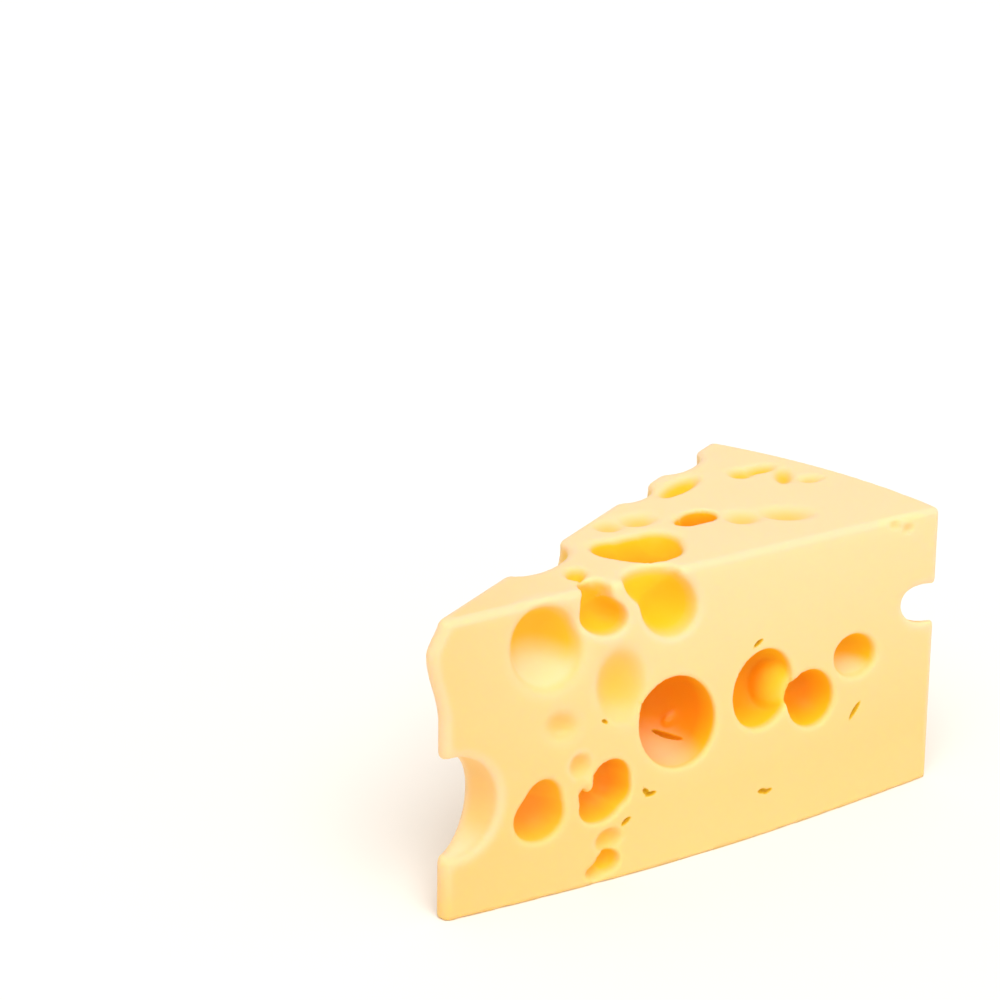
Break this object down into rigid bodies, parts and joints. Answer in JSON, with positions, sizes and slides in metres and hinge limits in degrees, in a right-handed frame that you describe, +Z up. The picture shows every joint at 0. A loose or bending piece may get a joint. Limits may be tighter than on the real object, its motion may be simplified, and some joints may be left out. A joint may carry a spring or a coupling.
{
  "type": "cheese wedge",
  "caption": "Wedge of large-eyed semi-hard cheese, cut to the wheel's centre, with round gas holes opened by every face.",
  "frame": {"origin": "on the base, under the middle of the wedge's box", "axes": "+X along the long front face from the sharp end to the curved side, +Y from the front face to the back face, +Z up"},
  "size_m": [0.1782, 0.0886, 0.088],
  "materials": {
    "cheese_paste": "pale yellow cheese paste, freshly cut, satin and slightly moist"
  },
  "bodies": {
    "root": {"cheese_wedge": "cheese_paste"}
  },
  "joints": []
}
